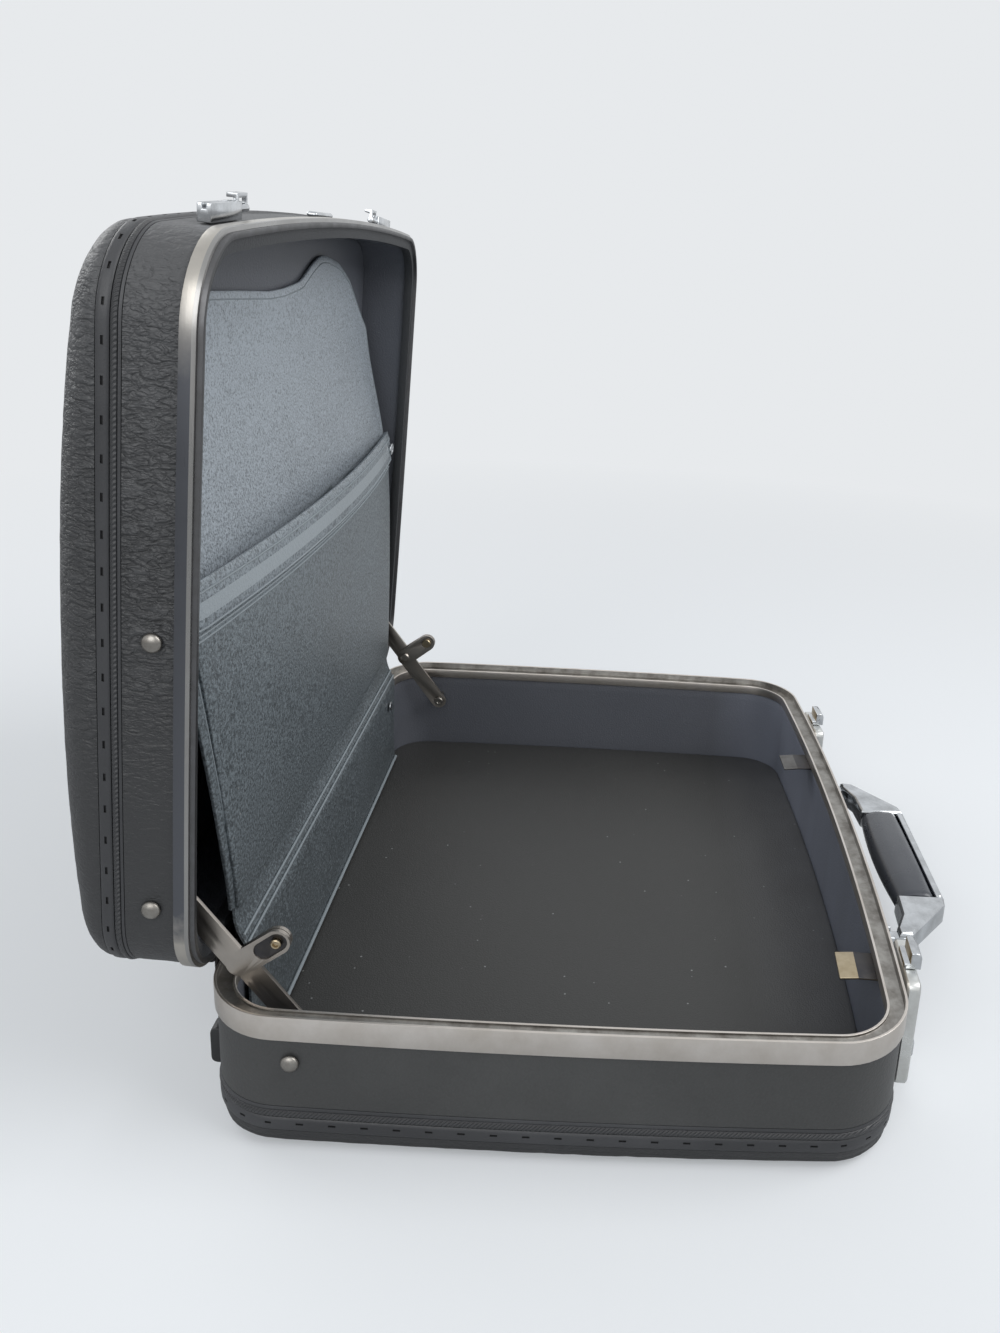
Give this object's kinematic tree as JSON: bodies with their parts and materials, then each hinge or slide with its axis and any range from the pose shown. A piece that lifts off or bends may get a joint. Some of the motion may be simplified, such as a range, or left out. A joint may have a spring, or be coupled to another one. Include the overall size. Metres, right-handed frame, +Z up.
{
  "type": "briefcase",
  "caption": "Hard briefcase with a hinged lid on folding stays, a swinging front handle, sliding latches with hinged hasps, and a document folder in the lid.",
  "frame": {"origin": "centre of the flat underside of the base", "axes": "+X along the case, -Y towards the front with the handle and the latches, +Y towards the hinge, +Z up with the case lying on its base"},
  "size_m": [0.4516, 0.4499, 0.4272],
  "materials": {
    "leatherette": "grained satin",
    "wrinkled_cover": "wrinkled satin",
    "piping": "satin",
    "satin_metal": "satin, brushed along its length",
    "lining": "matt vinyl",
    "floor_lining": "matt vinyl with dust",
    "folder_vinyl": "fine grain satin",
    "steel": "satin with bright edges",
    "chrome": "polished",
    "black_metal": "satin black",
    "brass": "dull gilt",
    "black_gloss": "gloss",
    "black_plastic": "matt"
  },
  "bodies": {
    "base": {"base_wall": "leatherette", "base_bottom_cover": "wrinkled_cover", "base_welt": "piping", "base_binding": "piping", "base_frame": "satin_metal", "base_lining_wall": "lining", "base_floor_panel": "floor_lining", "base_hinge_leaf": "black_metal", "hinge_pin": "steel", "base_stay_rivet_left": "chrome", "base_stay_rivet_right": "chrome", "latch_plate_left": "chrome", "latch_plate_right": "chrome", "latch_cap_left": "chrome", "latch_cap_right": "chrome", "latch_inner_tab_left": "brass", "latch_inner_tab_right": "brass", "handle_bracket_left": "chrome", "handle_bracket_right": "chrome", "base_back_foot_left": "black_plastic", "base_back_foot_right": "black_plastic", "base_gusset": "folder_vinyl"},
    "lid": {"lid_wall": "leatherette", "lid_cover": "wrinkled_cover", "lid_welt": "piping", "lid_binding": "piping", "lid_frame": "satin_metal", "lid_lining_wall": "lining", "lid_lining_panel": "lining", "lid_hinge_leaf": "black_metal", "lid_stay_rivet_left": "chrome", "lid_stay_rivet_right": "chrome", "band_rivet_left": "chrome", "band_rivet_right": "chrome", "hasp_bar_left": "chrome", "hasp_bar_right": "chrome", "lid_centre_catch": "chrome", "folder_back_panel": "folder_vinyl", "folder_front_pocket": "folder_vinyl", "folder_band": "folder_vinyl", "folder_snap": "chrome"},
    "base_stay_left": {"base_stay_arm_left": "steel", "elbow_rivet_left": "steel"},
    "base_stay_right": {"base_stay_arm_right": "steel", "elbow_rivet_right": "steel"},
    "lid_stay_left": {"lid_stay_arm_left": "steel", "knee_rivet_left": "brass"},
    "lid_stay_right": {"lid_stay_arm_right": "steel", "knee_rivet_right": "brass"},
    "latch_button_left": {"latch_button_left": "chrome"},
    "latch_button_right": {"latch_button_right": "chrome"},
    "hasp_hook_left": {"hasp_hook_left": "chrome"},
    "hasp_hook_right": {"hasp_hook_right": "chrome"},
    "handle": {"handle_end_left": "chrome", "handle_end_right": "chrome", "handle_grip": "black_gloss", "handle_spine": "chrome"}
  },
  "joints": [
    {"name": "lid_hinge", "type": "hinge", "parent": "base", "child": "lid", "pos_m": [0, 0.1683, 0.077], "axis": [1, 0, 0], "range_deg": [0, 86.3]},
    {"name": "base_stay_pivot_left", "type": "hinge", "parent": "base", "child": "base_stay_left", "pos_m": [-0.1985, 0.121, 0.0494], "axis": [1, 0, 0], "range_deg": [0, 86.3]},
    {"name": "base_stay_pivot_right", "type": "hinge", "parent": "base", "child": "base_stay_right", "pos_m": [0.1985, 0.121, 0.0494], "axis": [1, 0, 0], "range_deg": [0, 86.3]},
    {"name": "lid_stay_pivot_left", "type": "hinge", "parent": "lid", "child": "lid_stay_left", "pos_m": [-0.201, 0.17864, 0.12637], "axis": [1, 0, 0], "range_deg": [-86.3, 0]},
    {"name": "lid_stay_pivot_right", "type": "hinge", "parent": "lid", "child": "lid_stay_right", "pos_m": [0.201, 0.17864, 0.12637], "axis": [1, 0, 0], "range_deg": [-86.3, 0]},
    {"name": "latch_slide_left", "type": "slide", "parent": "base", "child": "latch_button_left", "axis": [0.9983, -0.0588, 0], "range_m": [0, 0.008], "stiffness_N_per_m": 300},
    {"name": "latch_slide_right", "type": "slide", "parent": "base", "child": "latch_button_right", "axis": [-0.9983, -0.0588, 0], "range_m": [0, 0.008], "stiffness_N_per_m": 300},
    {"name": "hasp_pivot_left", "type": "hinge", "parent": "lid", "child": "hasp_hook_left", "pos_m": [-0.13144, 0.15804, 0.42004], "axis": [0.9983, -0.0038, 0.0587], "range_deg": [0, 90], "stiffness_Nm_per_rad": 0.02},
    {"name": "hasp_pivot_right", "type": "hinge", "parent": "lid", "child": "hasp_hook_right", "pos_m": [0.13144, 0.15804, 0.42004], "axis": [0.9983, 0.0038, -0.0587], "range_deg": [0, 90], "stiffness_Nm_per_rad": 0.02},
    {"name": "handle_swing", "type": "hinge", "parent": "base", "child": "handle", "pos_m": [0, -0.182, 0.04], "axis": [-1, 0, 0], "range_deg": [0, 65]}
  ],
  "couplings": [
    {"joint": "base_stay_pivot_left", "follows": "lid_hinge", "ratio": 1},
    {"joint": "base_stay_pivot_right", "follows": "lid_hinge", "ratio": 1},
    {"joint": "lid_stay_pivot_left", "follows": "lid_hinge", "ratio": -1},
    {"joint": "lid_stay_pivot_right", "follows": "lid_hinge", "ratio": -1}
  ]
}
